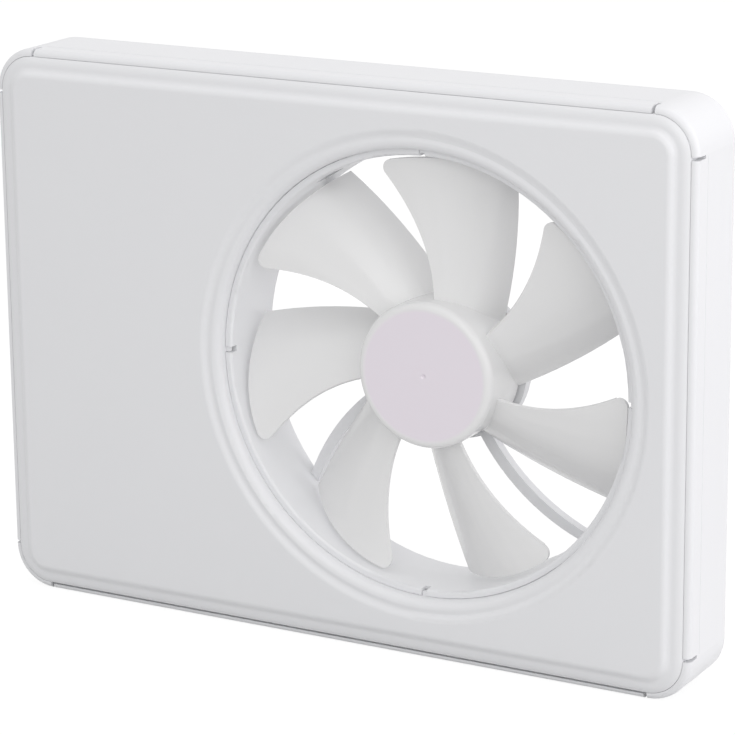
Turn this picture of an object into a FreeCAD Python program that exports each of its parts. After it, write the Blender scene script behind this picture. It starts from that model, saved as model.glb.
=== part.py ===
import FreeCAD, Part
import math
import os
import types

import Sketcher

# A slim wall fan that moves warm air from one room to the next.
# Frame: X to the right, Z up, Y into the wall; the origin is where the fan's axis meets the wall.
# Depths are measured from the wall towards the room, so a depth of 10 lies at Y = -10.

SIZES = {
    # Outer body: a landscape box whose round opening has equal margins at the right, top and bottom.
    "body_width": 220.0,
    "body_height": 163.0,
    "corner_radius": 12.5,
    "shell_wall": 2.0,
    "back_wall": 2.0,
    "rim_round": 1.9,
    # The straight walls are springy tongues between slits; the lower one leaves room to prise the cover off.
    "slit_width": 1.0,
    "slit_depth": 4.8,
    "tongue_step": 0.05,
    "tongue_height": 6.4,
    "pry_gap": 0.45,
    # Front cover: skirt inside the walls, a crowned shoulder level with their rim, and a raised panel.
    "panel_height": 26.2,
    "panel_rise": 2.4,
    "cover_wall": 1.8,
    "cover_clearance": 0.1,
    "skirt_depth": 5.8,
    "shoulder_width": 2.6,
    "shoulder_rise": 1.0,
    "step_width": 3.3,
    "hook_inset": 55.0,
    "hook_width": 8.0,
    "hook_reach": 11.0,
    "hook_barb": 0.9,
    # Air path through the body.
    "bore_radius": 61.6,
    "duct_wall": 2.0,
    "duct_drop": 4.1,
    "duct_round": 0.8,
    "collar_gap": 0.1,
    "collar_reach": 2.0,
    "lip_rise": 0.15,
    "lip_round": 2.4,
    "lip_back_width": 1.2,
    "ring_groove_depth": 0.75,
    "ring_edge_width": 2.6,
    "ring_margin": 2.4,
    # Keys that set the cover true to the duct.
    "key_width": 1.4,
    "key_clearance": 0.15,
    "key_recess": 0.9,
    "key_drop": 0.3,
    "key_depth": 2.7,
    "key_gap": 1.0,
    # Struts and motor seat.
    "strut_count": 4.0,
    "strut_depth": 3.0,
    "strut_width": 3.2,
    "strut_bend": 64.0,
    "strut_root_radius": 15.0,
    "strut_root_angle": -66.5,
    "strut_tip_angle": -48.0,
    "seat_radius": 22.4,
    "seat_floor": 0.8,
    # Impeller.
    "blade_count": 7.0,
    "blade_phase": 46.8,
    "tip_clearance": 1.2,
    "tip_round": 2.5,
    "blade_thickness": 1.8,
    "blade_edge": 0.8,
    "blade_camber": 0.085,
    "station_sink": 4.8,
    "station_margin": 0.4,
    "lead_offset_root": -2.7,
    "lead_offset_mid": -2.6,
    "lead_offset_tip": 7.3,
    "lead_depth_root": 16.3,
    "lead_depth_mid": 17.2,
    "lead_depth_tip": 18.9,
    "trail_offset_root": -19.5,
    "trail_offset_mid": -25.9,
    "trail_offset_tip": -29.4,
    "trail_depth_root": 4.2,
    "trail_depth_mid": 4.4,
    "trail_depth_tip": 6.2,
    "hub_radius": 20.8,
    "hub_front": 22.0,
    "hub_back": 4.4,
    "hub_wall": 1.6,
    "hub_round": 2.0,
    "dimple_radius": 0.8,
    "dimple_depth": 0.6,
    "boss_radius": 4.0,
    "boss_back": 15.4,
    # Motor.
    "shaft_radius": 1.5,
    "shaft_back": 1.2,
    "shaft_seat": 5.0,
    "clip_groove_depth": 0.4,
    "clip_width": 0.5,
    "clip_back": 1.7,
    "clip_reach": 1.1,
    "bearing_clearance": 0.03,
    "bearing_front": 14.4,
    "tube_radius": 4.2,
    "tube_wall": 1.2,
    "washer_thickness": 0.4,
    "washer_play": 0.2,
    "yoke_wall": 1.0,
    "yoke_back": 5.2,
    "magnet_thickness": 2.5,
    "magnet_back": 5.8,
    "magnet_front": 17.0,
    "air_gap": 0.5,
    "core_back": 8.0,
    "core_front": 14.0,
    "core_ring": 3.0,
    "pole_count": 6.0,
    "pole_width": 3.2,
    "shoe_thickness": 2.4,
    "shoe_slot": 3.0,
    "insulator_thickness": 0.8,
    "coil_thickness": 1.1,
    "coil_gap": 0.3,
    "motor_board_radius": 17.4,
    "motor_board_thickness": 1.2,
    "hall_radius": 13.2,
    "hall_size": 3.0,
    "hall_height": 1.3,
    # Sensor window in the duct, with the probe that fills it.
    "window_angle": 123.0,
    "window_width": 6.8,
    "window_back": 10.8,
    "window_front": 16.4,
    "probe_recess": 0.8,
    "probe_reach": 4.8,
    "probe_lead_radius": 0.6,
    "probe_lead_bend": 10.0,
    # Motor lead.
    "lead_radius": 0.9,
    "lead_clearance": 0.2,
    "lead_run": 8.0,
    "lead_sweep": 30.0,
    "lead_bend": 3.0,
    # Electronics.
    "board_tall": 108.0,
    "board_left": 5.5,
    "board_duct_gap": 13.4,
    "board_thickness": 1.6,
    "standoff_height": 4.0,
    "standoff_radius": 3.0,
    "standoff_inset": 4.0,
    "screw_radius": 1.3,
    "screw_head": 2.5,
    "screw_head_height": 1.6,
    "screw_length": 4.6,
    "terminal_poles": 3.0,
    "terminal_pitch": 7.5,
    "terminal_depth": 12.0,
    "terminal_drop": 0.4,
    "wire_hole": 2.0,
    "component_gap": 4.0,
    "component_clearance": 0.9,
    "transformer_width": 16.0,
    "transformer_tall": 18.0,
    "transformer_drop": 0.6,
    "core_leg": 3.6,
    "winding_bulge": 2.6,
    "capacitor_radius": 4.5,
    "capacitor_pitch": 11.0,
    "fuse_radius": 4.2,
    "fuse_drop": 2.0,
    "chip_size": 7.0,
    "chip_height": 1.3,
    "connector_width": 7.0,
    "connector_tall": 7.0,
    "connector_height": 7.0,
    "connector_gap": 0.4,
    "lid_wall": 1.4,
    "lid_gap": 2.2,
    "lid_clearance": 0.6,
    "lid_drop": 3.5,
    "lid_lug": 8.0,
    "lid_post_height": 6.0,
    "post_radius": 3.4,
    # Interfaces with the wall.
    "mount_inset_x": 14.0,
    "mount_inset_z": 12.0,
    "mount_hole": 2.25,
    "mount_boss": 5.0,
    "mount_boss_height": 1.6,
    "entry_radius": 7.0,
    "entry_rise": 15.0,
    "entry_gap": 4.3,
    "grommet_flange": 2.2,
    "grommet_flange_thickness": 2.0,
    "grommet_bore": 4.0,
}


class Size:
    """A number together with the expression on the sheet that gives it."""

    def __init__(self, value, text):
        self.value = float(value)
        self.text = text

    @staticmethod
    def of(other):
        if isinstance(other, Size):
            return other
        return Size(other, f"({other!r})")

    def __add__(self, other):
        other = Size.of(other)
        return Size(self.value + other.value, f"({self.text} + {other.text})")

    def __sub__(self, other):
        other = Size.of(other)
        return Size(self.value - other.value, f"({self.text} - {other.text})")

    def __mul__(self, other):
        other = Size.of(other)
        return Size(self.value * other.value, f"({self.text} * {other.text})")

    def __truediv__(self, other):
        other = Size.of(other)
        return Size(self.value / other.value, f"({self.text} / {other.text})")

    def __neg__(self):
        return Size(-self.value, f"(0 - {self.text})")

    def __radd__(self, other):
        return Size.of(other) + self

    def __rsub__(self, other):
        return Size.of(other) - self

    def __rmul__(self, other):
        return Size.of(other) * self

    def root(self):
        return Size(math.sqrt(self.value), f"sqrt({self.text})")

    def cos(self):
        return Size(math.cos(math.radians(self.value)), f"cos({self.text} * 1 deg)")

    def sin(self):
        return Size(math.sin(math.radians(self.value)), f"sin({self.text} * 1 deg)")


doc = FreeCAD.newDocument("heat_transfer_fan")
sheet = doc.addObject("Spreadsheet::Sheet", "Sizes")
for row, (alias, number) in enumerate(SIZES.items(), start=1):
    sheet.set(f"A{row}", alias)
    sheet.set(f"B{row}", str(number))
    sheet.setAlias(f"B{row}", alias)
doc.recompute()
d = types.SimpleNamespace(**{alias: Size(sheet.get(alias), f"Sizes.{alias}") for alias in SIZES})

ZERO = Size.of(0.0)
ONE = Size.of(1.0)
FACE_FRONT = FreeCAD.Rotation(FreeCAD.Vector(1, 0, 0), 90)
FAN_AXIS = FreeCAD.Vector(0, -1, 0)
NODES = []


# Document helpers

def bind(obj, path, size):
    """Ties one property of an object to the sheet."""
    obj.setExpression(path, Size.of(size).text)


def node(obj, label):
    """Marks a finished piece; its label names its file."""
    obj.Label = label
    NODES.append(obj)
    return obj


def turn_about_axis(obj, angle):
    """Turns an object about the fan's axis, anticlockwise as seen from the room."""
    obj.Placement = FreeCAD.Placement(FreeCAD.Vector(), FreeCAD.Rotation(FAN_AXIS, Size.of(angle).value))
    bind(obj, "Placement.Rotation.Angle", angle)


def cylinder(name, radius, back, front, x=ZERO, z=ZERO):
    """A round piece that points at the room, from one depth to another."""
    obj = doc.addObject("Part::Cylinder", name)
    obj.Placement = FreeCAD.Placement(FreeCAD.Vector(), FACE_FRONT)
    bind(obj, "Radius", radius)
    bind(obj, "Height", Size.of(front) - back)
    bind(obj, "Placement.Base.x", x)
    bind(obj, "Placement.Base.y", -Size.of(back))
    bind(obj, "Placement.Base.z", z)
    return obj


def box(name, left, right, back, front, bottom, top):
    """A square block between two depths."""
    obj = doc.addObject("Part::Box", name)
    bind(obj, "Length", Size.of(right) - left)
    bind(obj, "Width", Size.of(front) - back)
    bind(obj, "Height", Size.of(top) - bottom)
    bind(obj, "Placement.Base.x", left)
    bind(obj, "Placement.Base.y", -Size.of(front))
    bind(obj, "Placement.Base.z", bottom)
    return obj


def join(name, pieces):
    obj = doc.addObject("Part::MultiFuse", name)
    obj.Shapes = pieces
    obj.Refine = True
    return obj


def cut(name, base, tools):
    """Takes one or more tools away from a base."""
    obj = doc.addObject("Part::Cut", name)
    obj.Base = base
    obj.Tool = tools[0] if len(tools) == 1 else group(name + "_tools", tools)
    obj.Refine = True
    return obj


def common(name, base, tool):
    obj = doc.addObject("Part::Common", name)
    obj.Base = base
    obj.Tool = tool
    return obj


def group(name, pieces):
    """Keeps separate solids side by side in one object."""
    obj = doc.addObject("Part::Compound", name)
    obj.Links = pieces
    return obj


def ring(name, outer, inner, back, front, x=ZERO, z=ZERO):
    return cut(name, cylinder(name + "_disc", outer, back, front, x, z),
               [cylinder(name + "_hole", inner, back, front, x, z)])


def turned_box(name, angle, inner, outer, back, front, half_width):
    """A block that points outwards from the fan's axis at one angle."""
    obj = group(name, [box(name + "_block", inner, outer, back, front, -Size.of(half_width), half_width)])
    turn_about_axis(obj, angle)
    return obj


def origin_plane(body, role):
    return next(f for f in body.Origin.OriginFeatures if f.Role == role)


def arc_between(start, end, radius):
    """An arc with its centre to the left of the way for a radius above zero, else to the right."""
    chord = end - start
    half = chord.Length / 2
    rise = math.sqrt(max(radius * radius - half * half, 0.0))
    left = FreeCAD.Vector(-chord.y, chord.x, 0).normalize()
    centre = (start + end) / 2 + left * math.copysign(rise, radius)
    first, last = (start, end) if radius > 0 else (end, start)
    angles = [math.atan2(p.y - centre.y, p.x - centre.x) for p in (first, last)]
    circle = Part.Circle(centre, FreeCAD.Vector(0, 0, 1), abs(radius))
    return Part.ArcOfCircle(circle, *angles)


def sketch_on(body, name, role, offset, outline):
    """A sketch of lines and arcs whose corners and radii are all tied to the sheet.

    Each corner is (across, up), with the radius of the arc to the next corner as a third entry.
    """
    sketch = body.newObject("Sketcher::SketchObject", name)
    sketch.AttachmentSupport = (origin_plane(body, role), [""])
    sketch.MapMode = "FlatFace"
    bind(sketch, "AttachmentOffset.Base.z", offset)
    corners = [(Size.of(c[0]), Size.of(c[1]), c[2] if len(c) > 2 else None) for c in outline]
    points = [FreeCAD.Vector(across.value, up.value, 0) for across, up, bend in corners]
    ends = []
    for i, (across, up, bend) in enumerate(corners):
        start, end = points[i], points[(i + 1) % len(points)]
        if bend is None:
            edge = sketch.addGeometry(Part.LineSegment(start, end), False)
            ends.append((edge, 1, 2))
        else:
            edge = sketch.addGeometry(arc_between(start, end, bend.value), False)
            ends.append((edge, 1, 2) if bend.value > 0 else (edge, 2, 1))
    for i, (edge, first, last) in enumerate(ends):
        following = ends[(i + 1) % len(ends)]
        sketch.addConstraint(Sketcher.Constraint("Coincident", edge, last, following[0], following[1]))
    for (across, up, bend), (edge, first, last) in zip(corners, ends):
        for kind, size in (("DistanceX", across), ("DistanceY", up)):
            index = sketch.addConstraint(Sketcher.Constraint(kind, -1, 1, edge, first, size.value))
            bind(sketch, f"Constraints[{index}]", size)
        if bend is not None:
            index = sketch.addConstraint(Sketcher.Constraint("Radius", edge, abs(bend.value)))
            bind(sketch, f"Constraints[{index}]", bend if bend.value > 0 else -bend)
    return sketch


def level_bend(width, rise):
    """The radius of an arc that ends level after a width and a rise."""
    return (width * width + rise * rise) / (rise * 2)


def soft_step(start, end, first):
    """Corners of two like arcs that lead level from one height to another.

    The first arc's centre lies in the material for a first of 1, and outside it for -1.
    """
    width, rise = end[0] - start[0], end[1] - start[1]
    middle = (start[0] + width / 2, start[1] + rise / 2)
    bend = level_bend(width / 2, rise / 2 * -first)
    return [(*start, bend * first), (*middle, bend * -first), end]


def edges_at_depth(shape, depth):
    """The names of the edges that lie flat at one depth."""
    names = []
    for i, edge in enumerate(shape.Edges, start=1):
        if all(abs(v.Point.y + depth) < 1e-6 for v in edge.Vertexes):
            names.append(f"Edge{i}")
    return names


def prism(name, outline, back, front, front_round=None):
    """A flat outline drawn out from one depth to another, with its front edge rounded if asked."""
    body = doc.addObject("PartDesign::Body", name)
    sketch = sketch_on(body, name + "_outline", "XZ_Plane", back, outline)
    pad = body.newObject("PartDesign::Pad", name + "_pad")
    pad.Profile = sketch
    bind(pad, "Length", Size.of(front) - back)
    if front_round is not None:
        doc.recompute()
        fillet = body.newObject("PartDesign::Fillet", name + "_round")
        fillet.Base = (pad, edges_at_depth(pad.Shape, Size.of(front).value))
        bind(fillet, "Radius", front_round)
        body.Tip = fillet
    return body


def turned(name, outline):
    """A profile of (radius, depth) corners turned about the fan's axis."""
    body = doc.addObject("PartDesign::Body", name)
    profile = [(c[0], -Size.of(c[1])) + tuple(c[2:]) for c in outline]
    sketch = sketch_on(body, name + "_profile", "XY_Plane", ZERO, profile)
    revolution = body.newObject("PartDesign::Revolution", name + "_turn")
    revolution.Profile = sketch
    revolution.ReferenceAxis = (sketch, ["V_Axis"])
    revolution.Angle = 360.0
    return body


# Outline of the body at a distance inside its outer face

BODY_RIGHT = d.body_height / 2
BODY_LEFT = BODY_RIGHT - d.body_width
BODY_TOP = d.body_height / 2
BODY_BOTTOM = -BODY_TOP


def body_outline(inset):
    """The rounded rectangle that runs all round the body, from the middle of its right side."""
    left, right = BODY_LEFT + inset, BODY_RIGHT - inset
    bottom, top = BODY_BOTTOM + inset, BODY_TOP - inset
    bend = d.corner_radius - inset
    return [
        (right, ZERO), (right, top - bend, bend), (right - bend, top),
        (left + bend, top, bend), (left, top - bend),
        (left, bottom + bend, bend), (left + bend, bottom),
        (right - bend, bottom, bend), (right, bottom + bend),
    ]


def straight_sides(near, far, back, front, margin, name):
    """Four bars along the straight sides, between two distances inside the outer face."""
    start_x, end_x = BODY_LEFT + d.corner_radius + margin, BODY_RIGHT - d.corner_radius - margin
    start_z, end_z = BODY_BOTTOM + d.corner_radius + margin, BODY_TOP - d.corner_radius - margin
    return [
        box(name + "_top", start_x, end_x, back, front, BODY_TOP - far, BODY_TOP - near),
        box(name + "_bottom", start_x, end_x, back, front, BODY_BOTTOM + near, BODY_BOTTOM + far),
        box(name + "_left", BODY_LEFT + near, BODY_LEFT + far, back, front, start_z, end_z),
        box(name + "_right", BODY_RIGHT - far, BODY_RIGHT - near, back, front, start_z, end_z),
    ]


# Places shared by several pieces

RIM_HEIGHT = d.panel_height - d.panel_rise
SLIT_ROOT = RIM_HEIGHT - d.slit_depth
SHOULDER_HEIGHT = RIM_HEIGHT + d.shoulder_rise
SHOULDER_BACK = SHOULDER_HEIGHT - d.cover_wall
PLATE_BACK = d.panel_height - d.cover_wall
DUCT_OUTER = d.bore_radius + d.duct_wall
DUCT_HEIGHT = d.panel_height - d.duct_drop
KEY_SLOT_BACK = DUCT_HEIGHT - d.key_depth
LIP_INNER = DUCT_OUTER + d.collar_gap
TIP_RADIUS = d.bore_radius - d.tip_clearance
STATION_ROOT = d.hub_radius - d.station_sink
STATION_TIP = TIP_RADIUS - d.station_margin
BOARD_LEFT = BODY_LEFT + d.shell_wall + d.board_left
BOARD_RIGHT = -(DUCT_OUTER + d.board_duct_gap)
BOARD_BACK = d.back_wall + d.standoff_height
BOARD_FRONT = BOARD_BACK + d.board_thickness
LID_LEFT = BOARD_LEFT - d.lid_gap
LID_RIGHT = BOARD_RIGHT + d.lid_gap
LID_FRONT = SHOULDER_BACK - d.lid_drop
ROOM_FRONT = LID_FRONT - d.lid_wall - d.component_clearance
MOUNT_LEFT = BODY_LEFT + d.mount_inset_x
MOUNT_RIGHT = BODY_RIGHT - d.mount_inset_x
MOUNT_RISE = BODY_TOP - d.mount_inset_z
MOUNT_PLACES = [(x, z) for x in (MOUNT_LEFT, MOUNT_RIGHT) for z in (-MOUNT_RISE, MOUNT_RISE)]
GROMMET_RADIUS = d.entry_radius + d.grommet_flange
ENTRY_X = MOUNT_LEFT + d.mount_boss + d.entry_gap + GROMMET_RADIUS
ENTRY_Z = BODY_BOTTOM + d.entry_rise
HOOK_PLACES = [(x, side) for x in (BODY_LEFT + d.hook_inset, BODY_RIGHT - d.hook_inset) for side in (-1, 1)]
SEAT_HOLE = d.tube_radius
HUB_INNER = d.hub_radius - d.hub_wall
YOKE_FRONT = d.hub_front - d.hub_wall
MAGNET_OUTER = HUB_INNER - d.yoke_wall
MAGNET_INNER = MAGNET_OUTER - d.magnet_thickness
CORE_RADIUS = MAGNET_INNER - d.air_gap
CORE_HUB = d.tube_radius + d.core_ring
SHOE_INNER = CORE_RADIUS - d.shoe_thickness
MOTOR_BOARD_FRONT = d.strut_depth + d.motor_board_thickness


# Leads: centre lines of straight runs and tangent arcs in the plane of the wall

def heading_vector(angle):
    return FreeCAD.Vector(math.cos(angle), 0, math.sin(angle))


def level_arc(start, heading, radius, swing):
    """An arc at one depth that turns left by a swing, or right for a swing below zero."""
    side = math.copysign(math.pi / 2, swing)
    centre = start + heading_vector(heading + side) * radius
    middle = centre - heading_vector(heading + swing / 2 + side) * radius
    end = centre - heading_vector(heading + swing + side) * radius
    return Part.Arc(start, middle, end).toShape(), end


def line(start, end):
    return Part.LineSegment(start, end).toShape()


def motor_lead_path():
    """Along a strut, out through the duct's wall, then forward and into the connector."""
    opposite = 180.0
    depth = d.strut_depth.value - d.lead_radius.value
    tip_radius = d.bore_radius.value + d.duct_wall.value / 2
    root_angle = math.radians(d.strut_root_angle.value + opposite)
    tip_angle = math.radians(d.strut_tip_angle.value + opposite)
    inwards = FreeCAD.Vector(0, -depth, 0)
    start = inwards + heading_vector(root_angle) * d.strut_root_radius.value
    chord = inwards + heading_vector(tip_angle) * tip_radius - start
    swing = 2 * math.asin(chord.Length / 2 / d.strut_bend.value)
    heading = math.atan2(chord.z, chord.x) - swing / 2
    along_strut, leave = level_arc(start, heading, d.strut_bend.value, swing)
    heading += swing
    run_end = leave + heading_vector(heading) * d.lead_run.value
    turn_level, level = level_arc(run_end, heading, d.lead_sweep.value, math.pi - heading)

    bend = d.lead_bend.value
    slant = math.sqrt(0.5)
    left = FreeCAD.Vector(-bend, 0, 0)
    front = FreeCAD.Vector(0, -bend, 0)
    plug_depth = BOARD_FRONT.value + d.connector_height.value / 2
    foot = FreeCAD.Vector(LID_RIGHT.value + d.lid_gap.value + bend, level.y, level.z)
    rise = foot + left + front
    foot_arc = Part.Arc(foot, foot + left * slant + front * (1 - slant), rise).toShape()
    shoulder = FreeCAD.Vector(rise.x, bend - plug_depth, rise.z)
    over = shoulder + left + front
    shoulder_arc = Part.Arc(shoulder, shoulder + left * (1 - slant) + front * slant, over).toShape()
    plug = FreeCAD.Vector(BOARD_RIGHT.value - d.standoff_inset.value / 2, over.y, over.z)
    path = [along_strut, line(leave, run_end), turn_level, line(level, foot), foot_arc,
            line(rise, shoulder), shoulder_arc, line(over, plug)]
    return path, plug


def probe_lead_path(plug):
    """From the side of the probe straight across to the same connector."""
    angle = math.radians(d.window_angle.value)
    radius = d.bore_radius.value + d.probe_recess.value + d.probe_reach.value * 0.6
    depth = (d.window_back.value + d.window_front.value) / 2
    heading = angle + math.pi / 2
    start = heading_vector(angle) * radius + heading_vector(heading) * (d.window_width.value / 2)
    start.y = -depth
    sweep, level = level_arc(start, heading, d.probe_lead_bend.value, math.pi - heading)
    return [sweep, line(level, FreeCAD.Vector(plug.x, level.y, level.z))]


def lead(name, edges, radius):
    """A round sleeve along tangent lines and arcs."""
    start = edges[0].valueAt(edges[0].FirstParameter)
    heading = edges[0].tangentAt(edges[0].FirstParameter)
    section = Part.Wire(Part.Circle(start, heading, radius).toShape())
    obj = doc.addObject("Part::Feature", name)
    obj.Shape = Part.Wire(edges).makePipeShell([section], True, False)
    return obj


MOTOR_LEAD, PLUG = motor_lead_path()
PLUG_X = Size.of(PLUG.x)
PLUG_Z = Size.of(PLUG.z)

# Height of the board: its upper screws clear the connector where the lead arrives

BOARD_TOP = PLUG_Z + d.connector_tall / 2 + d.connector_gap + d.screw_head + d.standoff_inset
BOARD_BOTTOM = BOARD_TOP - d.board_tall
LID_BOTTOM = BOARD_BOTTOM - d.lid_gap
LID_TOP = BOARD_TOP + d.lid_gap
POST_X = LID_RIGHT - d.lid_lug
POST_FRONT = d.back_wall + d.lid_post_height
POST_PLACES = [(POST_X, LID_TOP + d.lid_lug / 2), (POST_X, LID_BOTTOM - d.lid_lug / 2)]
STANDOFF_PLACES = [
    (x, z)
    for x in (BOARD_LEFT + d.standoff_inset, BOARD_RIGHT - d.standoff_inset)
    for z in (BOARD_BOTTOM + d.standoff_inset, BOARD_TOP - d.standoff_inset)
]


# Rear housing: tray, duct, struts and motor seat in one moulding

KEY_ANGLES = (0.0, 90.0, 180.0, 270.0)


def strut(index):
    """One swept strut from the motor seat to the duct."""
    root, tip = d.strut_root_radius, DUCT_OUTER - d.duct_wall / 2
    half_root = d.strut_width / root * math.degrees(0.5)
    half_tip = d.strut_width / tip * math.degrees(0.5)

    def corner(radius, angle):
        return radius * angle.cos(), radius * angle.sin()

    outline = [
        corner(root, d.strut_root_angle - half_root) + (d.strut_bend,),
        corner(tip, d.strut_tip_angle - half_tip),
        corner(tip, d.strut_tip_angle + half_tip) + (-d.strut_bend,),
        corner(root, d.strut_root_angle + half_root),
    ]
    body = prism(f"strut_{index}", outline, ZERO, d.strut_depth)
    turn_about_axis(body, 360.0 / d.strut_count.value * index)
    return body


def rear_housing():
    above = RIM_HEIGHT + ONE
    block = prism("housing_block", body_outline(ZERO), ZERO, RIM_HEIGHT, d.rim_round)
    cavity = prism("housing_cavity", body_outline(d.shell_wall), d.back_wall, above)
    slits = straight_sides(-ONE, d.shell_wall + ONE, SLIT_ROOT, above, ZERO, "slit")
    between = straight_sides(-ONE * 2, d.shell_wall + ONE * 2, SLIT_ROOT - ONE, above + ONE,
                             d.slit_width, "between_slits")
    slit_ends = [cut(f"slit_ends_{i}", slits[i], [between[i]]) for i in range(len(slits))]
    steps = straight_sides(-ONE, d.tongue_step, RIM_HEIGHT - d.tongue_height, above, d.slit_width / 2,
                           "tongue_step")
    pry_start = d.corner_radius + d.slit_width / 2
    pry_gap = box("pry_gap", BODY_LEFT + pry_start, BODY_RIGHT - pry_start, SLIT_ROOT, above,
                  BODY_BOTTOM + d.shell_wall - d.pry_gap, BODY_BOTTOM + d.shell_wall + ONE)
    recesses = [hook_block(f"hook_recess_{i}", x, side, d.cover_clearance, True)
                for i, (x, side) in enumerate(HOOK_PLACES)]
    bore = cylinder("housing_bore", d.bore_radius, -ONE, d.back_wall + ONE)
    tray = cut("housing_tray", block, [cavity, bore, pry_gap] + slit_ends + steps + recesses)
    duct = turned("duct", [
        (d.bore_radius, ZERO), (d.bore_radius, DUCT_HEIGHT - d.duct_round, d.duct_round),
        (d.bore_radius + d.duct_round, DUCT_HEIGHT), (DUCT_OUTER, DUCT_HEIGHT), (DUCT_OUTER, ZERO),
    ])
    struts = [strut(i) for i in range(int(d.strut_count.value))]
    seat = cylinder("motor_seat", d.seat_radius, ZERO, d.strut_depth)
    standoffs = [cylinder(f"standoff_{i}", d.standoff_radius, d.back_wall / 2, BOARD_BACK, x, z)
                 for i, (x, z) in enumerate(STANDOFF_PLACES)]
    posts = [cylinder(f"lid_post_{i}", d.post_radius, d.back_wall / 2, POST_FRONT, x, z)
             for i, (x, z) in enumerate(POST_PLACES)]
    boss_front = d.back_wall + d.mount_boss_height
    bosses = [cylinder(f"mount_boss_{i}", d.mount_boss, d.back_wall / 2, boss_front, x, z)
              for i, (x, z) in enumerate(MOUNT_PLACES)]
    whole = join("housing_whole", [tray, duct, seat] + struts + standoffs + posts + bosses)
    seat_hole = cylinder("seat_hole", SEAT_HOLE, d.seat_floor, d.strut_depth + ONE)
    pilots = [cylinder(f"pilot_{i}", d.screw_radius, BOARD_FRONT - d.screw_length, BOARD_BACK + ONE, x, z)
              for i, (x, z) in enumerate(STANDOFF_PLACES)]
    lid_pilots = [cylinder(f"lid_pilot_{i}", d.screw_radius, POST_FRONT + d.lid_wall - d.screw_length,
                           POST_FRONT + ONE, x, z) for i, (x, z) in enumerate(POST_PLACES)]
    holes = [cylinder(f"mount_hole_{i}", d.mount_hole, -ONE, boss_front + ONE, x, z)
             for i, (x, z) in enumerate(MOUNT_PLACES)]
    entry = cylinder("cable_entry", d.entry_radius, -ONE, d.back_wall + ONE, ENTRY_X, ENTRY_Z)
    channel = lead("lead_channel", MOTOR_LEAD, d.lead_radius.value + d.lead_clearance.value)
    window = turned_box("sensor_window", d.window_angle, d.bore_radius - ONE, DUCT_OUTER + ONE,
                        d.window_back, d.window_front, d.window_width / 2)
    slot_half = d.key_width / 2 + d.key_clearance
    key_slots = [turned_box(f"key_slot_{i}", angle, d.bore_radius - ONE, DUCT_OUTER + ONE, KEY_SLOT_BACK,
                            DUCT_HEIGHT + ONE, slot_half) for i, angle in enumerate(KEY_ANGLES)]
    return cut("housing_finished", whole,
               [seat_hole, entry, channel, window] + key_slots + pilots + lid_pilots + holes)


# Front cover: rim and panel edge swept round the body, panel plate, and the ring of the air opening

def hook_block(name, x, side, clearance, recess):
    """The barb of a cover hook, or with a clearance the recess in the wall that takes it."""
    half = d.hook_width / 2 + clearance
    back = RIM_HEIGHT - d.hook_reach - clearance
    front = back + d.hook_barb * 2 + clearance * 2
    outer = BODY_TOP - d.shell_wall + d.hook_barb + clearance
    inner = BODY_TOP - d.shell_wall - d.cover_clearance - (ZERO if recess else d.cover_wall / 2)
    low, high = (inner, outer) if side > 0 else (-outer, -inner)
    return box(name, x - half, x + half, back, front, low, high)


def hook_arm(name, x, side):
    outer = BODY_TOP - d.shell_wall - d.cover_clearance
    inner = outer - d.cover_wall
    low, high = (inner, outer) if side > 0 else (-outer, -inner)
    half = d.hook_width / 2
    return box(name, x - half, x + half, RIM_HEIGHT - d.hook_reach, RIM_HEIGHT - d.cover_wall, low, high)


def cover_rim():
    """Skirt, crowned shoulder and soft step up to the panel, as one section swept round inside the walls."""
    body = doc.addObject("PartDesign::Body", "cover_rim")
    spine = sketch_on(body, "cover_rim_path", "XZ_Plane", ZERO, body_outline(ZERO))
    skirt_back = RIM_HEIGHT - d.skirt_depth
    skirt_outer = d.shell_wall + d.cover_clearance
    skirt_inner = skirt_outer + d.cover_wall
    shoulder_end = skirt_outer + d.shoulder_width
    panel_edge = shoulder_end + d.step_width
    plate_start = panel_edge + d.cover_wall
    section = [
        (skirt_outer, skirt_back),
        (skirt_outer, RIM_HEIGHT, level_bend(d.shoulder_width, d.shoulder_rise)),
        *soft_step((shoulder_end, SHOULDER_HEIGHT), (panel_edge, d.panel_height), -1),
        (plate_start, d.panel_height),
        (plate_start, PLATE_BACK),
        (panel_edge, PLATE_BACK),
        (panel_edge, SHOULDER_BACK),
        (skirt_inner, SHOULDER_BACK),
        (skirt_inner, skirt_back),
    ]
    outline = [(BODY_RIGHT - c[0], -c[1]) + ((-c[2],) if len(c) > 2 else ()) for c in section]
    profile = sketch_on(body, "cover_rim_section", "XY_Plane", ZERO, outline)
    pipe = body.newObject("PartDesign::AdditivePipe", "cover_rim_sweep")
    pipe.Profile = profile
    pipe.Spine = spine
    return body, plate_start


def opening_ring():
    """Shallow groove and rounded lip round the air opening, with a collar that slips over the duct."""
    groove_floor = d.panel_height - d.ring_groove_depth
    crest = groove_floor + d.lip_rise
    lip_top = LIP_INNER + d.lip_round
    groove = lip_top + d.lip_back_width
    ring_edge = groove + d.ring_edge_width
    outer = ring_edge + d.ring_margin
    collar_back = DUCT_HEIGHT - d.collar_reach
    collar_outer = LIP_INNER + d.cover_wall
    underside = groove_floor - d.cover_wall
    return turned("opening_ring", [
        (LIP_INNER, collar_back),
        (LIP_INNER, crest - d.lip_round, d.lip_round),
        *soft_step((lip_top, crest), (groove, groove_floor), 1)[:-1],
        *soft_step((groove, groove_floor), (ring_edge, d.panel_height), -1),
        (outer, d.panel_height),
        (outer, PLATE_BACK),
        (ring_edge, PLATE_BACK),
        (ring_edge, underside),
        (collar_outer, underside),
        (collar_outer, collar_back),
    ]), ring_edge + d.ring_margin / 2


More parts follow.
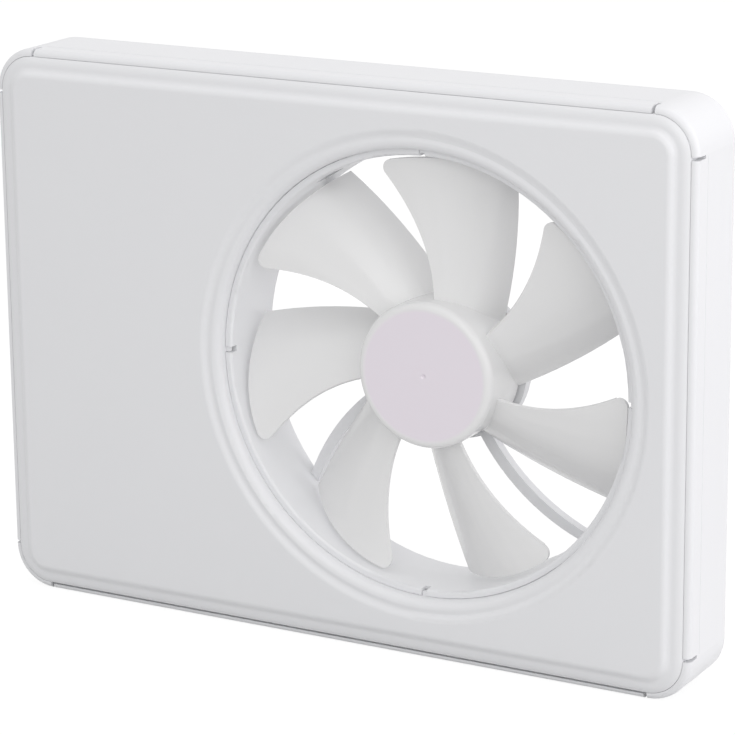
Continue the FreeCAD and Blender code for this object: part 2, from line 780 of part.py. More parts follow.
def front_cover():
    rim, plate_inset = cover_rim()
    opening, plate_hole = opening_ring()
    plate = prism("cover_plate", body_outline(plate_inset - ONE / 2), PLATE_BACK, d.panel_height)
    hole = cylinder("cover_plate_hole", plate_hole, ZERO, d.panel_height + ONE)
    open_plate = cut("cover_open_plate", plate, [hole])
    arms = [hook_arm(f"hook_arm_{i}", x, side) for i, (x, side) in enumerate(HOOK_PLACES)]
    barbs = [hook_block(f"hook_barb_{i}", x, side, ZERO, False) for i, (x, side) in enumerate(HOOK_PLACES)]
    keys = [turned_box(f"cover_key_{i}", angle, d.bore_radius + d.key_recess, LIP_INNER + d.cover_wall / 2,
                       KEY_SLOT_BACK + d.key_gap, DUCT_HEIGHT - d.key_drop, d.key_width / 2)
            for i, angle in enumerate(KEY_ANGLES)]
    return join("cover_whole", [rim, open_plate, opening] + arms + barbs + keys)


# Impeller: hub cup and swept blades

def at_station(share, root, mid, tip):
    """A smooth course through three stations along the blade."""
    root_part = root * ((1 - share) * (1 - 2 * share))
    mid_part = mid * (4 * share * (1 - share))
    return root_part + mid_part + tip * (share * (2 * share - 1))


def blade_section(share):
    """A cambered section across the blade, in (along the wall, along the travel) corners."""
    lead_up = at_station(share, d.lead_offset_root, d.lead_offset_mid, d.lead_offset_tip)
    lead_across = -at_station(share, d.lead_depth_root, d.lead_depth_mid, d.lead_depth_tip)
    trail_up = at_station(share, d.trail_offset_root, d.trail_offset_mid, d.trail_offset_tip)
    trail_across = -at_station(share, d.trail_depth_root, d.trail_depth_mid, d.trail_depth_tip)
    run_across, run_up = lead_across - trail_across, lead_up - trail_up
    chord = (run_across * run_across + run_up * run_up).root()
    side_across, side_up = -run_up / chord, run_across / chord
    half = d.blade_edge / 2
    swell = (d.blade_thickness - d.blade_edge) / 2
    camber = chord * d.blade_camber

    def bend(height):
        return (chord * chord / 4 + height * height) / (height * 2)

    return [
        (trail_across + side_across * half, trail_up + side_up * half, -bend(camber + swell)),
        (lead_across + side_across * half, lead_up + side_up * half),
        (lead_across - side_across * half, lead_up - side_up * half, bend(camber - swell)),
        (trail_across - side_across * half, trail_up - side_up * half),
    ]


def blade(index):
    """One blade, lofted through parallel sections and trimmed to the hub's wall and the tip circle."""
    body = doc.addObject("PartDesign::Body", f"blade_{index}")
    length = STATION_TIP - STATION_ROOT
    sketches = [sketch_on(body, f"blade_{index}_section_{i}", "YZ_Plane", STATION_ROOT + length * share,
                          blade_section(share)) for i, share in enumerate(BLADE_SHARES)]
    loft = body.newObject("PartDesign::AdditiveLoft", f"blade_{index}_loft")
    loft.Profile = sketches[0]
    loft.Sections = sketches[1:]
    turn_about_axis(body, d.blade_phase + 360.0 / d.blade_count.value * index)
    sweep = ring(f"blade_{index}_sweep", TIP_RADIUS, d.hub_radius - d.hub_wall / 2, ZERO, d.hub_front)
    trimmed = common(f"blade_{index}_trimmed", body, sweep)
    corner = group(f"blade_{index}_corner", [tip_corner(index)])
    turn_about_axis(corner, d.blade_phase + 360.0 / d.blade_count.value * index)
    return cut(f"blade_{index}_rounded", trimmed, [corner])


def tip_corner(index):
    """What is taken off the corner between the leading edge and the tip to round it."""
    along = STATION_TIP - STATION_ROOT
    rise = d.lead_offset_root - d.lead_offset_mid * 4 + d.lead_offset_tip * 3
    slope = (along * along + rise * rise).root()
    along, rise = along / slope, rise / slope

    def reach(x, z, radius):
        """The point on a circle about the axis that lies ahead along the leading edge."""
        ahead = x * along + z * rise
        step = (ahead * ahead - x * x - z * z + radius * radius).root() - ahead
        return x + along * step, z + rise * step

    inner = TIP_RADIUS - d.tip_round
    x, z = reach(STATION_TIP + rise * d.tip_round, d.lead_offset_tip - along * d.tip_round, inner)
    apex_x, apex_z = reach(STATION_TIP, d.lead_offset_tip, TIP_RADIUS + ONE)
    off = d.tip_round + ONE
    outwards = (TIP_RADIUS + ONE) / inner
    outline = [(x, z), (x * outwards, z * outwards), (apex_x, apex_z), (x - rise * off, z + along * off)]
    block = prism(f"tip_corner_{index}", outline, ZERO, d.hub_front)
    return cut(f"tip_corner_{index}_hollow", block, [cylinder(f"tip_circle_{index}", d.tip_round, -ONE,
                                                             d.hub_front + ONE, x, z)])


BLADE_SHARES = (-0.2, 0.1, 0.4, 0.7, 1.06)


def impeller():
    shaft_top = d.boss_back + d.shaft_seat
    hub = turned("hub", [
        (ZERO, shaft_top), (d.shaft_radius, shaft_top), (d.shaft_radius, d.boss_back),
        (d.boss_radius, d.boss_back), (d.boss_radius, YOKE_FRONT), (HUB_INNER, YOKE_FRONT),
        (HUB_INNER, d.hub_back), (d.hub_radius, d.hub_back),
        (d.hub_radius, d.hub_front - d.hub_round, -d.hub_round),
        (d.hub_radius - d.hub_round, d.hub_front),
        (d.dimple_radius, d.hub_front), (ZERO, d.hub_front - d.dimple_depth),
    ])
    blades = [blade(i) for i in range(int(d.blade_count.value))]
    return join("impeller_whole", [hub] + blades)


# Motor: external rotor on a sleeve bearing

def motor():
    shaft_front = d.boss_back + d.shaft_seat
    groove_radius = d.shaft_radius - d.clip_groove_depth
    clip_front = d.clip_back + d.clip_width
    node(turned("shaft_turned", [
        (ZERO, d.shaft_back), (d.shaft_radius, d.shaft_back), (d.shaft_radius, d.clip_back),
        (groove_radius, d.clip_back), (groove_radius, clip_front), (d.shaft_radius, clip_front),
        (d.shaft_radius, shaft_front), (ZERO, shaft_front),
    ]), "shaft")
    clip_outer = d.shaft_radius + d.clip_reach
    clip_ring = ring("clip_ring", clip_outer, groove_radius, d.clip_back, clip_front)
    clip_mouth = box("clip_mouth", ZERO, clip_outer + ONE, d.clip_back, clip_front,
                     -groove_radius / 2, groove_radius / 2)
    node(cut("clip_cut", clip_ring, [clip_mouth]), "shaft_clip")
    tube_inner = d.tube_radius - d.tube_wall
    bearing_bore = d.shaft_radius + d.bearing_clearance
    washer_back = clip_front + d.washer_play
    bearing_back = washer_back + d.washer_thickness
    node(ring("washer_rear_ring", tube_inner, bearing_bore, washer_back, bearing_back), "thrust_washer_rear")
    node(ring("sleeve_ring", tube_inner, bearing_bore, bearing_back, d.bearing_front), "sleeve_bearing")
    node(ring("washer_front_ring", tube_inner, bearing_bore, d.bearing_front,
              d.bearing_front + d.washer_thickness), "thrust_washer_front")
    tube_front = d.bearing_front + d.washer_thickness
    node(ring("bearing_tube_ring", d.tube_radius, tube_inner, d.seat_floor, tube_front), "bearing_tube")
    node(turned("yoke_turned", [
        (d.boss_radius, YOKE_FRONT), (HUB_INNER, YOKE_FRONT), (HUB_INNER, d.yoke_back),
        (MAGNET_OUTER, d.yoke_back), (MAGNET_OUTER, YOKE_FRONT - d.yoke_wall),
        (d.boss_radius, YOKE_FRONT - d.yoke_wall),
    ]), "rotor_yoke")
    node(ring("magnet_ring", MAGNET_OUTER, MAGNET_INNER, d.magnet_back, d.magnet_front), "rotor_magnet")
    stator()
    board = ring("motor_board_disc", d.motor_board_radius, d.tube_radius, d.strut_depth, MOTOR_BOARD_FRONT)
    node(board, "motor_board")
    half = d.hall_size / 2
    node(box("hall_block", d.hall_radius - half, d.hall_radius + half, MOTOR_BOARD_FRONT,
             MOTOR_BOARD_FRONT + d.hall_height, -half, half), "hall_sensor")


def pole_bars(name, inner, outer, half_width, back, front):
    """Bars that point outwards, one for each pole."""
    step = 360.0 / d.pole_count.value
    return [turned_box(f"{name}_{i}", step * (i + 0.5), inner, outer, back, front, half_width)
            for i in range(int(d.pole_count.value))]


def stator_star(name, back, front):
    """Ring, poles and pole shoes of one layer of the stator."""
    overlap = d.core_ring / 2
    spine = ring(name + "_spine", CORE_HUB, d.tube_radius, back, front)
    poles = pole_bars(name + "_pole", CORE_HUB - overlap, SHOE_INNER + d.shoe_thickness / 2,
                      d.pole_width / 2, back, front)
    shoe_ring = ring(name + "_shoe_ring", CORE_RADIUS, SHOE_INNER, back, front)
    slots = [turned_box(f"{name}_slot_{i}", 360.0 / d.pole_count.value * i, CORE_HUB, CORE_RADIUS + ONE,
                        back - ONE, front + ONE, d.shoe_slot / 2) for i in range(int(d.pole_count.value))]
    shoes = cut(name + "_shoes", shoe_ring, slots)
    return join(name, [spine, shoes] + poles)


def stator():
    rear = d.core_back - d.insulator_thickness
    front = d.core_front + d.insulator_thickness
    node(stator_star("core_star", d.core_back, d.core_front), "stator_core")
    node(stator_star("insulator_rear_star", rear, d.core_back), "insulator_rear")
    node(stator_star("insulator_front_star", d.core_front, front), "insulator_front")
    inner, outer = CORE_HUB + d.coil_gap, SHOE_INNER - d.coil_gap
    half = d.pole_width / 2
    coil_outer = pole_bars("coil_outer", inner, outer, half + d.coil_thickness,
                           rear - d.coil_thickness, front + d.coil_thickness)
    coil_inner = pole_bars("coil_inner", inner, outer, half, rear, front)
    coils = [cut(f"coil_{i}", around, [core]) for i, (around, core) in enumerate(zip(coil_outer, coil_inner))]
    node(group("coil_set", coils), "windings")


# Circuit board and what it carries

def screw(name, x, z, seat_depth):
    """A pan-head screw seated at one depth."""
    head = cylinder(name + "_head", d.screw_head, seat_depth, seat_depth + d.screw_head_height, x, z)
    shank = cylinder(name + "_shank", d.screw_radius, seat_depth - d.screw_length, seat_depth, x, z)
    return join(name, [head, shank])


def transformer(middle, bottom, top):
    """A closed core whose middle leg carries the winding."""
    left, right = middle - d.transformer_width / 2, middle + d.transformer_width / 2
    front = ROOM_FRONT - d.transformer_drop
    below, above = BOARD_FRONT - ONE, front + ONE
    frame = box("transformer_frame", left, right, BOARD_FRONT, front, bottom, top)
    window_left, window_right = left + d.core_leg, right - d.core_leg
    window_bottom, window_top = bottom + d.core_leg, top - d.core_leg
    leg_left, leg_right = middle - d.core_leg / 2, middle + d.core_leg / 2
    leg_back, leg_front = BOARD_FRONT + d.winding_bulge / 2, front - d.winding_bulge / 2
    windows = [
        box("transformer_window_left", window_left, leg_left, below, above, window_bottom, window_top),
        box("transformer_window_right", leg_right, window_right, below, above, window_bottom, window_top),
        box("transformer_relief_front", window_left, window_right, leg_front, above,
            window_bottom, window_top),
        box("transformer_relief_rear", window_left, window_right, below, leg_back, window_bottom, window_top),
    ]
    node(cut("transformer_core_cut", frame, windows), "transformer_core")
    winding = box("winding_block", window_left, window_right, BOARD_FRONT, front, window_bottom, window_top)
    leg = box("winding_leg", leg_left, leg_right, leg_back, leg_front, window_bottom, window_top)
    node(cut("winding_cut", winding, [leg]), "transformer_winding")


def electronics():
    plate = box("board_plate", BOARD_LEFT, BOARD_RIGHT, BOARD_BACK, BOARD_FRONT, BOARD_BOTTOM, BOARD_TOP)
    holes = [cylinder(f"board_hole_{i}", d.screw_radius, BOARD_BACK, BOARD_FRONT, x, z)
             for i, (x, z) in enumerate(STANDOFF_PLACES)]
    node(cut("board_drilled", plate, holes), "control_board")
    screws = [screw(f"board_screw_{i}", x, z, BOARD_FRONT) for i, (x, z) in enumerate(STANDOFF_PLACES)]
    node(group("board_screw_set", screws), "board_screws")

    middle = (BOARD_LEFT + BOARD_RIGHT) / 2
    block_left = middle - d.terminal_pitch * d.terminal_poles / 2
    block_bottom = BOARD_BOTTOM + d.standoff_inset * 2
    block_top = block_bottom + d.terminal_depth
    block_front = ROOM_FRONT - d.terminal_drop
    body = box("terminal_body", block_left, block_left + d.terminal_pitch * d.terminal_poles, BOARD_FRONT,
               block_front, block_bottom, block_top)
    mouths, wells, clamps = [], [], []
    well_back = BOARD_FRONT + d.wire_hole
    well_z = block_bottom + d.terminal_depth * 0.65
    for i in range(int(d.terminal_poles.value)):
        centre = block_left + d.terminal_pitch * (i + 0.5)
        mouths.append(box(f"terminal_mouth_{i}", centre - d.wire_hole, centre + d.wire_hole, well_back,
                          well_back + d.wire_hole * 2, block_bottom - ONE, well_z))
        wells.append(cylinder(f"terminal_well_{i}", d.screw_head, well_back, block_front + ONE,
                              centre, well_z))
        clamps.append(cylinder(f"terminal_clamp_{i}", d.screw_head, well_back, block_front - d.wire_hole,
                               centre, well_z))
    node(cut("terminal_drilled", body, mouths + wells), "terminal_block")
    node(group("terminal_clamp_set", clamps), "terminal_screws")

    fuse_z = block_top + d.component_gap + d.fuse_radius
    fuse_front = ROOM_FRONT - d.fuse_drop
    node(cylinder("fuse_can", d.fuse_radius, BOARD_FRONT, fuse_front, middle, fuse_z), "mains_fuse")
    can_z = fuse_z + d.fuse_radius + d.component_gap + d.capacitor_radius
    cans = [cylinder(f"capacitor_{i}", d.capacitor_radius, BOARD_FRONT, ROOM_FRONT,
                     middle + d.capacitor_pitch * side / 2, can_z) for i, side in enumerate((-1, 1))]
    node(group("capacitor_set", cans), "capacitors")
    coil_bottom = can_z + d.capacitor_radius + d.component_gap
    coil_top = coil_bottom + d.transformer_tall
    transformer(middle, coil_bottom, coil_top)
    chip_left = middle - d.chip_size / 2
    chip_bottom = coil_top + d.component_gap
    node(box("chip_block", chip_left, chip_left + d.chip_size, BOARD_FRONT, BOARD_FRONT + d.chip_height,
             chip_bottom, chip_bottom + d.chip_size), "controller_chip")
    node(box("connector_block", PLUG_X - d.connector_width, PLUG_X, BOARD_FRONT,
             BOARD_FRONT + d.connector_height, PLUG_Z - d.connector_tall / 2, PLUG_Z + d.connector_tall / 2),
         "motor_connector")
    probe_start = d.bore_radius + d.probe_recess
    node(turned_box("probe", d.window_angle, probe_start, probe_start + d.probe_reach, d.window_back,
                    d.window_front, d.window_width / 2), "temperature_sensor")
    node(lead("probe_sleeve", probe_lead_path(PLUG), d.probe_lead_radius.value), "sensor_lead")


def electronics_lid():
    shell = box("lid_shell", LID_LEFT, LID_RIGHT, d.back_wall, LID_FRONT, LID_BOTTOM, LID_TOP)
    hollow = box("lid_hollow", LID_LEFT + d.lid_wall, LID_RIGHT - d.lid_wall, d.back_wall - ONE,
                 LID_FRONT - d.lid_wall, LID_BOTTOM + d.lid_wall, LID_TOP - d.lid_wall)
    half = d.lid_lug / 2
    lug_back, lug_front = POST_FRONT, POST_FRONT + d.lid_wall
    lugs = [
        box("lid_lug_top", POST_X - half, POST_X + half, lug_back, lug_front,
            LID_TOP - d.lid_wall / 2, LID_TOP + d.lid_lug),
        box("lid_lug_bottom", POST_X - half, POST_X + half, lug_back, lug_front,
            LID_BOTTOM - d.lid_lug, LID_BOTTOM + d.lid_wall / 2),
    ]
    body = join("lid_body", [cut("lid_case", shell, [hollow])] + lugs)
    screw_holes = [cylinder(f"lid_hole_{i}", d.screw_radius, lug_back - ONE, lug_front + ONE, x, z)
                   for i, (x, z) in enumerate(POST_PLACES)]
    slot_half = d.lead_radius + d.lead_clearance * 3
    lead_slot = box("lid_lead_slot", LID_RIGHT - d.lid_wall - ONE, LID_RIGHT + ONE, d.back_wall - ONE,
                    BOARD_FRONT + d.connector_height + slot_half, PLUG_Z - slot_half, PLUG_Z + slot_half)
    wire_half = GROMMET_RADIUS + d.lid_clearance
    wire_slot = box("lid_wire_slot", ENTRY_X - wire_half, ENTRY_X + wire_half, d.back_wall - ONE,
                    POST_FRONT - d.lid_clearance, LID_BOTTOM - ONE, LID_BOTTOM + d.lid_wall + ONE / 2)
    node(cut("lid_finished", body, screw_holes + [lead_slot, wire_slot]), "electronics_lid")
    screws = [screw(f"lid_screw_{i}", x, z, lug_front) for i, (x, z) in enumerate(POST_PLACES)]
    node(group("lid_screw_set", screws), "lid_screws")


def cable_grommet():
    neck = ring("grommet_neck", d.entry_radius, d.grommet_bore, ZERO, d.back_wall, ENTRY_X, ENTRY_Z)
    flange = ring("grommet_flange_ring", GROMMET_RADIUS, d.grommet_bore, d.back_wall,
                  d.back_wall + d.grommet_flange_thickness, ENTRY_X, ENTRY_Z)
    return join("grommet_whole", [neck, flange])


# Assembly

node(rear_housing(), "rear_housing")
node(front_cover(), "front_cover")
node(impeller(), "impeller")
motor()
node(lead("lead_sleeve", MOTOR_LEAD, d.lead_radius.value), "motor_lead")
electronics()
electronics_lid()
node(cable_grommet(), "cable_grommet")
doc.recompute()

faults = [f"{o.Name}: {o.State}" for o in doc.Objects if {"Invalid", "Error"} & set(o.State)]
faults += [f"{o.Label}: bad shape" for o in NODES if o.Shape.isNull() or not o.Shape.isValid()]
if faults:
    raise RuntimeError("; ".join(faults))

os.makedirs("parts", exist_ok=True)
for piece in NODES:
    piece.Shape.exportStep(f"parts/{piece.Label}.step")
    print(f"{piece.Label}: {len(piece.Shape.Solids)} solid(s), {piece.Shape.Volume:.1f} mm3")
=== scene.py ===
import math

import bpy
from mathutils import Matrix, Vector


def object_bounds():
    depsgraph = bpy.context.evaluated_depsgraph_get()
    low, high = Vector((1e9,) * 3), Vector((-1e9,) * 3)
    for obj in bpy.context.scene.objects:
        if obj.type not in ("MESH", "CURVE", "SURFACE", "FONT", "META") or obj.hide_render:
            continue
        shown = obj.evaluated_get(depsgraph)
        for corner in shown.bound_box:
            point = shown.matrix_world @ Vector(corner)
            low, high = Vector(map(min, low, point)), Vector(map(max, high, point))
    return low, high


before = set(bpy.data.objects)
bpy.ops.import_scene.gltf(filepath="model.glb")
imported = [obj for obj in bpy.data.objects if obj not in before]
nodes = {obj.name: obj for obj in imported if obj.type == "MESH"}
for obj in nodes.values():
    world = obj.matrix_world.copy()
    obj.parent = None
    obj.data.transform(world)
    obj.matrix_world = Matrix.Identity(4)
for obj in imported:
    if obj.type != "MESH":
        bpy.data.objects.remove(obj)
cad_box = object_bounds()
box_low, box_high = cad_box
scene = bpy.context.scene
scene.view_settings.view_transform = "Standard"

MM = 0.001
UP = Vector((0.0, 0.0, 1.0))
WHITE = (1.0, 1.0, 1.0)


# Helpers for shader nodes; a mix node keeps its colours in slots of their own

MIX_FACTOR, MIX_FIRST, MIX_SECOND, MIX_RESULT = 0, 6, 7, 2


class NodeTree:
    """Fills one node tree, with each node linked as it is made."""

    def __init__(self, node_tree):
        self.nodes = node_tree.nodes
        self.links = node_tree.links
        self.nodes.clear()

    def add(self, kind, inputs=None, **settings):
        made = self.nodes.new(kind)
        for name, value in settings.items():
            setattr(made, name, value)
        for name, value in (inputs or {}).items():
            if isinstance(value, bpy.types.NodeSocket):
                self.links.new(value, made.inputs[name])
            else:
                made.inputs[name].default_value = value
        return made

    def math(self, operation, first, second):
        return self.add("ShaderNodeMath", {0: first, 1: second}, operation=operation).outputs[0]

    def vector_math(self, operation, *vectors):
        return self.add("ShaderNodeVectorMath", dict(enumerate(vectors)), operation=operation).outputs

    def noise(self, coordinates, scale, detail, roughness=0.5):
        made = self.add("ShaderNodeTexNoise", {"Vector": coordinates, "Scale": scale, "Detail": detail,
                                               "Roughness": roughness})
        return made.outputs["Fac"]

    def spread(self, value, low, high, start=0.0, end=1.0):
        """A value between start and end brought to the range from low to high."""
        made = self.add("ShaderNodeMapRange", {"Value": value, "From Min": start, "From Max": end,
                                               "To Min": low, "To Max": high})
        return made.outputs["Result"]

    def tint(self, value, first, second):
        """A colour between two colours or colour sockets."""
        ends = {slot: colour if isinstance(colour, bpy.types.NodeSocket) else rgba(colour)
                for slot, colour in ((MIX_FIRST, first), (MIX_SECOND, second))}
        made = self.add("ShaderNodeMix", {MIX_FACTOR: value, **ends}, data_type="RGBA")
        return made.outputs[MIX_RESULT]

    def seen(self):
        """One for rays that show the background itself: from the camera, off gloss or through glass."""
        path = self.add("ShaderNodeLightPath").outputs
        direct = self.math("MAXIMUM", path["Is Camera Ray"], path["Is Glossy Ray"])
        return self.math("MAXIMUM", direct, path["Is Transmission Ray"])


def rgba(colour):
    return (*colour, 1.0)


def new_material(name):
    made = bpy.data.materials.new(name)
    made.use_nodes = True
    return made, NodeTree(made.node_tree)


# Moulded plastic; scales are patches per metre

FLOW_SCALE = 18.0
GLOSS_SCALE = 60.0
GLOSS_SWING = 0.05
GRAIN_SIZE = 0.35 * MM
GRAIN_DEPTH = 0.02 * MM
EDGE_RADIUS = 0.05 * MM
EDGE_SAMPLES = 6
PLASTIC_IOR = 1.49

# The hub's tinted face and the flow lines on the blades, about the turning axis Y; sweep in radians per metre

ACROSS_AXIS = (1.0, 0.0, 1.0)
HUB_FACE_RADIUS = 18.0 * MM
HUB_FACE_BLEND = 1.2 * MM
LINE_SWEEP = 4.5
LINES_PER_RADIAN = 6.0
LINE_START, LINE_FULL = 22.0 * MM, 30.0 * MM


def flow_lines(tree, across, distance):
    """Height of the lines that flowing plastic leaves from a hub outwards, swept as the blades are."""
    outwards = tree.vector_math("NORMALIZE", across)["Vector"]
    turn = tree.math("MULTIPLY", distance, LINE_SWEEP)
    swept = tree.add("ShaderNodeVectorRotate", {"Vector": outwards, "Angle": turn}, rotation_type="Y_AXIS")
    wave = tree.math("SUBTRACT", tree.noise(swept.outputs[0], LINES_PER_RADIAN, detail=1.0), 0.5)
    return tree.math("MULTIPLY", wave, tree.spread(distance, 0.0, 1.0, LINE_START, LINE_FULL))


def moulded(name, colour, deeper, roughness, grain, grain_size=GRAIN_SIZE, hub_face=None, line_depth=None):
    """Moulded plastic: spark-eroded grain, faint flow shade, gloss that wanders, soft edges.

    hub_face is the colour of a round face about the turning axis, where the shade differs.
    line_depth is the depth of soft flow lines that run outwards from a hub about that axis.
    """
    material, tree = new_material(name)
    place = tree.add("ShaderNodeTexCoord").outputs["Object"]
    shade = tree.tint(tree.noise(place, FLOW_SCALE, detail=3.0, roughness=0.55), colour, deeper)
    gloss = tree.noise(place, GLOSS_SCALE, detail=3.0, roughness=0.6)
    fine = tree.noise(place, 1.0 / grain_size, detail=2.0, roughness=0.6)
    normal = tree.add("ShaderNodeBevel", {"Radius": EDGE_RADIUS}, samples=EDGE_SAMPLES).outputs["Normal"]
    if hub_face or line_depth:
        across = tree.vector_math("MULTIPLY", place, ACROSS_AXIS)["Vector"]
        distance = tree.vector_math("LENGTH", across)["Value"]
    if hub_face:
        outside = tree.spread(distance, 0.0, 1.0, HUB_FACE_RADIUS, HUB_FACE_RADIUS + HUB_FACE_BLEND)
        shade = tree.tint(outside, hub_face, shade)
    if line_depth:
        lines = flow_lines(tree, across, distance)
        normal = tree.add("ShaderNodeBump", {"Distance": line_depth, "Height": lines,
                                             "Normal": normal}).outputs["Normal"]
    normal = tree.add("ShaderNodeBump", {"Strength": grain, "Distance": GRAIN_DEPTH, "Height": fine,
                                         "Normal": normal}).outputs["Normal"]
    shader = tree.add("ShaderNodeBsdfPrincipled", {
        "Base Color": shade,
        "Roughness": tree.spread(gloss, roughness - GLOSS_SWING, roughness + GLOSS_SWING),
        "Normal": normal,
        "IOR": PLASTIC_IOR,
    })
    tree.add("ShaderNodeOutputMaterial", {"Surface": shader.outputs[0]})
    return material


# Worked metal; scales are marks and stains per metre

MARK_SCALES = (400.0, 9000.0, 400.0)
MARK_DEPTH = 0.01 * MM
STAIN_SCALE = 140.0
STAIN_BRIGHTER, STAIN_DULLER = 0.06, 0.08


def worked_metal(name, colour, deeper, roughness, scratch):
    """Metal with fine turning marks and a slight stain."""
    material, tree = new_material(name)
    place = tree.add("ShaderNodeTexCoord").outputs["Object"]
    stretched = tree.add("ShaderNodeMapping", {"Vector": place, "Scale": MARK_SCALES}).outputs["Vector"]
    marks = tree.noise(stretched, 1.0, detail=2.0, roughness=0.6)
    stain = tree.noise(place, STAIN_SCALE, detail=4.0, roughness=0.6)
    bump = tree.add("ShaderNodeBump", {"Strength": scratch, "Distance": MARK_DEPTH, "Height": marks})
    shader = tree.add("ShaderNodeBsdfPrincipled", {
        "Base Color": tree.tint(stain, colour, deeper),
        "Metallic": 1.0,
        "Roughness": tree.spread(stain, roughness - STAIN_BRIGHTER, roughness + STAIN_DULLER),
        "Normal": bump.outputs["Normal"],
    })
    tree.add("ShaderNodeOutputMaterial", {"Surface": shader.outputs[0]})
    return material


# Materials of the nodes, each with its two shades and its surface

CASE_SHADES = (0.817, 0.821, 0.834), (0.797, 0.801, 0.818)
BLADE_SHADES = (0.83, 0.83, 0.83), (0.81, 0.81, 0.81)
LAVENDER = (0.82, 0.765, 0.825)

white = moulded("white_moulding", *CASE_SHADES, roughness=0.38, grain=0.18)
cover_white = moulded("cover_white", *CASE_SHADES, roughness=0.36, grain=0.15)
blade_white = moulded("blade_white", *BLADE_SHADES, roughness=0.2, grain=0.06, hub_face=LAVENDER,
                      line_depth=0.55 * MM)
nylon = moulded("natural_nylon", (0.78, 0.75, 0.66), (0.74, 0.71, 0.61), roughness=0.45, grain=0.3)
black = moulded("black_resin", (0.035, 0.035, 0.038), (0.025, 0.025, 0.028), roughness=0.5, grain=0.5)
rubber = moulded("black_rubber", (0.03, 0.03, 0.032), (0.045, 0.045, 0.046), roughness=0.7, grain=0.6)
grey = moulded("lid_grey", (0.60, 0.61, 0.62), (0.57, 0.58, 0.59), roughness=0.5, grain=0.4)
terminal = moulded("terminal_grey", (0.22, 0.23, 0.25), (0.19, 0.20, 0.22), roughness=0.5, grain=0.4)
board = moulded("board_green", (0.02, 0.16, 0.07), (0.015, 0.12, 0.05), roughness=0.32, grain=0.3,
                grain_size=0.9 * MM)
tape = moulded("winding_tape", (0.70, 0.50, 0.06), (0.62, 0.43, 0.05), roughness=0.4, grain=0.4)
can_sleeve = moulded("can_sleeve", (0.03, 0.04, 0.09), (0.02, 0.03, 0.07), roughness=0.35, grain=0.2)
sleeve = moulded("lead_sleeve", (0.70, 0.70, 0.71), (0.66, 0.66, 0.67), roughness=0.55, grain=0.4)
ferrite = moulded("ferrite", (0.05, 0.05, 0.055), (0.035, 0.035, 0.04), roughness=0.55, grain=0.7)
steel = worked_metal("plated_steel", (0.62, 0.63, 0.65), (0.52, 0.53, 0.55), roughness=0.32, scratch=0.3)
bright = worked_metal("bright_steel", (0.70, 0.71, 0.73), (0.62, 0.63, 0.65), roughness=0.2, scratch=0.2)
laminated = worked_metal("laminated_steel", (0.36, 0.37, 0.39), (0.28, 0.28, 0.30), roughness=0.42,
                         scratch=0.6)
copper = worked_metal("enamelled_copper", (0.60, 0.25, 0.09), (0.50, 0.19, 0.06), roughness=0.3,
                      scratch=0.7)
brass = worked_metal("turned_brass", (0.68, 0.50, 0.22), (0.60, 0.43, 0.18), roughness=0.28, scratch=0.3)
bronze = worked_metal("sintered_bronze", (0.45, 0.30, 0.15), (0.36, 0.23, 0.11), roughness=0.5,
                      scratch=0.8)

FINISH = {
    white: ["rear_housing"],
    cover_white: ["front_cover"],
    blade_white: ["impeller"],
    nylon: ["thrust_washer_front", "thrust_washer_rear", "insulator_front", "insulator_rear",
            "motor_connector"],
    black: ["hall_sensor", "controller_chip", "temperature_sensor", "mains_fuse"],
    rubber: ["cable_grommet"],
    grey: ["electronics_lid"],
    terminal: ["terminal_block"],
    board: ["motor_board", "control_board"],
    tape: ["transformer_winding"],
    can_sleeve: ["capacitors"],
    sleeve: ["motor_lead", "sensor_lead"],
    ferrite: ["rotor_magnet", "transformer_core"],
    steel: ["rotor_yoke", "board_screws", "lid_screws", "terminal_screws"],
    bright: ["shaft", "shaft_clip"],
    laminated: ["stator_core"],
    copper: ["windings"],
    brass: ["bearing_tube"],
    bronze: ["sleeve_bearing"],
}
for material, names in FINISH.items():
    for name in names:
        slots = nodes[name].data.materials
        slots.clear()
        slots.append(material)


# Floor and background; the share of the floor that doesn't glow keeps the object's shadow

FLOOR_HALF = 6.0
FLOOR_PAPER = (0.6, 0.6, 0.6)
FLOOR_ROUGHNESS = 0.9
FLOOR_GLOW = 1.2
FLOOR_GLOW_SHARE = 0.75
SKY_STRENGTH = 0.75
BACKDROP_STRENGTH = 1.0


def floor_piece():
    sides = ((-1, -1), (1, -1), (1, 1), (-1, 1))
    corners = [(x * FLOOR_HALF, y * FLOOR_HALF, box_low.z) for x, y in sides]
    mesh = bpy.data.meshes.new("floor")
    mesh.from_pydata(corners, [], [(0, 1, 2, 3)])
    obj = bpy.data.objects.new("floor", mesh)
    scene.collection.objects.link(obj)
    material, tree = new_material("floor_white")
    paper = tree.add("ShaderNodeBsdfPrincipled", {"Base Color": rgba(FLOOR_PAPER),
                                                  "Roughness": FLOOR_ROUGHNESS,
                                                  "Specular IOR Level": 0.0}).outputs[0]
    glow = tree.add("ShaderNodeEmission", {"Color": rgba(WHITE), "Strength": FLOOR_GLOW}).outputs[0]
    share = tree.math("MULTIPLY", tree.seen(), FLOOR_GLOW_SHARE)
    mixed = tree.add("ShaderNodeMixShader", {0: share, 1: paper, 2: glow}).outputs[0]
    tree.add("ShaderNodeOutputMaterial", {"Surface": mixed})
    mesh.materials.append(material)


def surroundings():
    world = bpy.data.worlds.new("studio")
    world.use_nodes = True
    scene.world = world
    tree = NodeTree(world.node_tree)
    sky, backdrop = (tree.add("ShaderNodeBackground", {"Color": rgba(WHITE), "Strength": strength}).outputs[0]
                     for strength in (SKY_STRENGTH, BACKDROP_STRENGTH))
    mixed = tree.add("ShaderNodeMixShader", {0: tree.seen(), 1: sky, 2: backdrop}).outputs[0]
    tree.add("ShaderNodeOutputWorld", {"Surface": mixed})


# Lamps, soft discs that face the part's origin; sizes in metres, power in watts

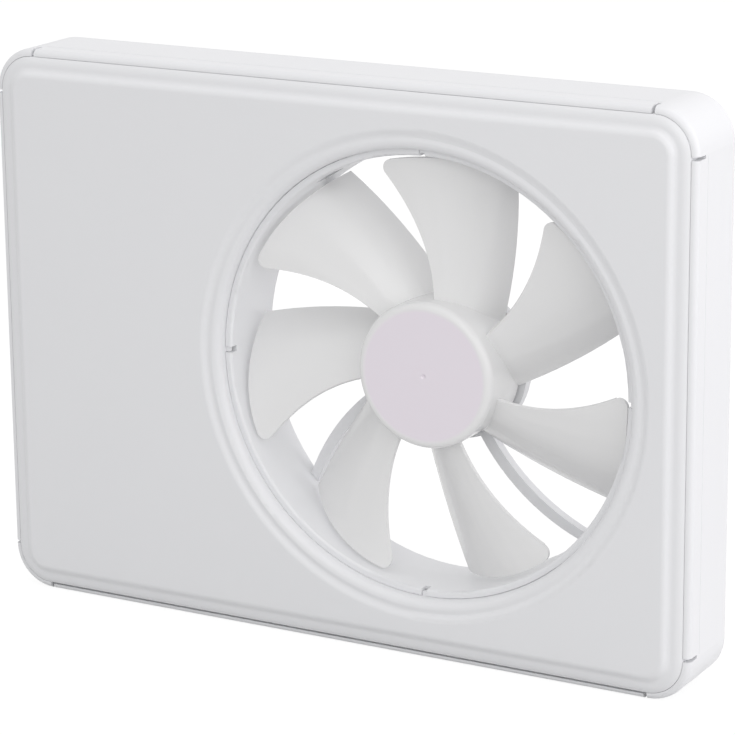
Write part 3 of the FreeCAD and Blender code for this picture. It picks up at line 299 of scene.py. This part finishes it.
WIDE_DISC, SMALL_DISC = 1.6, 0.5
SIDE_CAST, TOP_CAST = (0.99, 0.96, 1.0), (1.0, 0.96, 1.0)


def softbox(name, place, disc, power, colour=WHITE):
    data = bpy.data.lights.new(name, "AREA")
    data.shape = "DISK"
    data.size = disc
    data.energy = power
    data.color = colour
    obj = bpy.data.objects.new(name, data)
    obj.location = place
    obj.rotation_mode = "QUATERNION"
    obj.rotation_quaternion = (-Vector(place)).to_track_quat("-Z", "Y")
    scene.collection.objects.link(obj)


floor_piece()
surroundings()
softbox("right_front", (1.5, -0.7, 0.5), WIDE_DISC, power=5.8)
softbox("right_side", (1.6, 0.3, 0.4), WIDE_DISC, power=8.7, colour=SIDE_CAST)
softbox("top", (0.1, -0.2, 1.5), WIDE_DISC, power=2.7, colour=TOP_CAST)
softbox("front_fill", (0.25, -0.8, 0.35), SMALL_DISC, power=0.82)


# Camera, at the place from which the object was photographed

AZIMUTH, ELEVATION, ROLL = (math.radians(angle) for angle in (29.385, 15.481, 0.595))
FOCAL_PX = 3183.588
FRAME_PX = 735
SENSOR_WIDTH = 36.0
CLIP_NEAR, CLIP_FAR = 0.05, 50.0

# The middle of the part's back, and where it lies from the camera: to the right, down and ahead

BACK_CENTRE = Vector(((box_low.x + box_high.x) / 2, box_high.y, (box_low.z + box_high.z) / 2))
BACK_FROM_CAMERA = Vector((1.136, -6.179, 905.705)) * MM


def photo_camera():
    level = math.cos(ELEVATION)
    ahead = Vector((-math.sin(AZIMUTH) * level, math.cos(AZIMUTH) * level, -math.sin(ELEVATION)))
    right = ahead.cross(UP).normalized()
    down = ahead.cross(right)
    kept, rolled = math.cos(ROLL), math.sin(ROLL)
    right, down = right * kept + down * rolled, down * kept - right * rolled
    turn = Matrix((right, -down, -ahead)).transposed()
    reach = Matrix((right, down, ahead)).transposed() @ BACK_FROM_CAMERA
    data = bpy.data.cameras.new("photo_camera")
    data.sensor_width = SENSOR_WIDTH
    data.lens = FOCAL_PX / FRAME_PX * SENSOR_WIDTH
    data.clip_start, data.clip_end = CLIP_NEAR, CLIP_FAR
    obj = bpy.data.objects.new("photo_camera", data)
    scene.collection.objects.link(obj)
    obj.matrix_world = Matrix.Translation(BACK_CENTRE - reach) @ turn.to_4x4()
    scene.camera = obj


photo_camera()
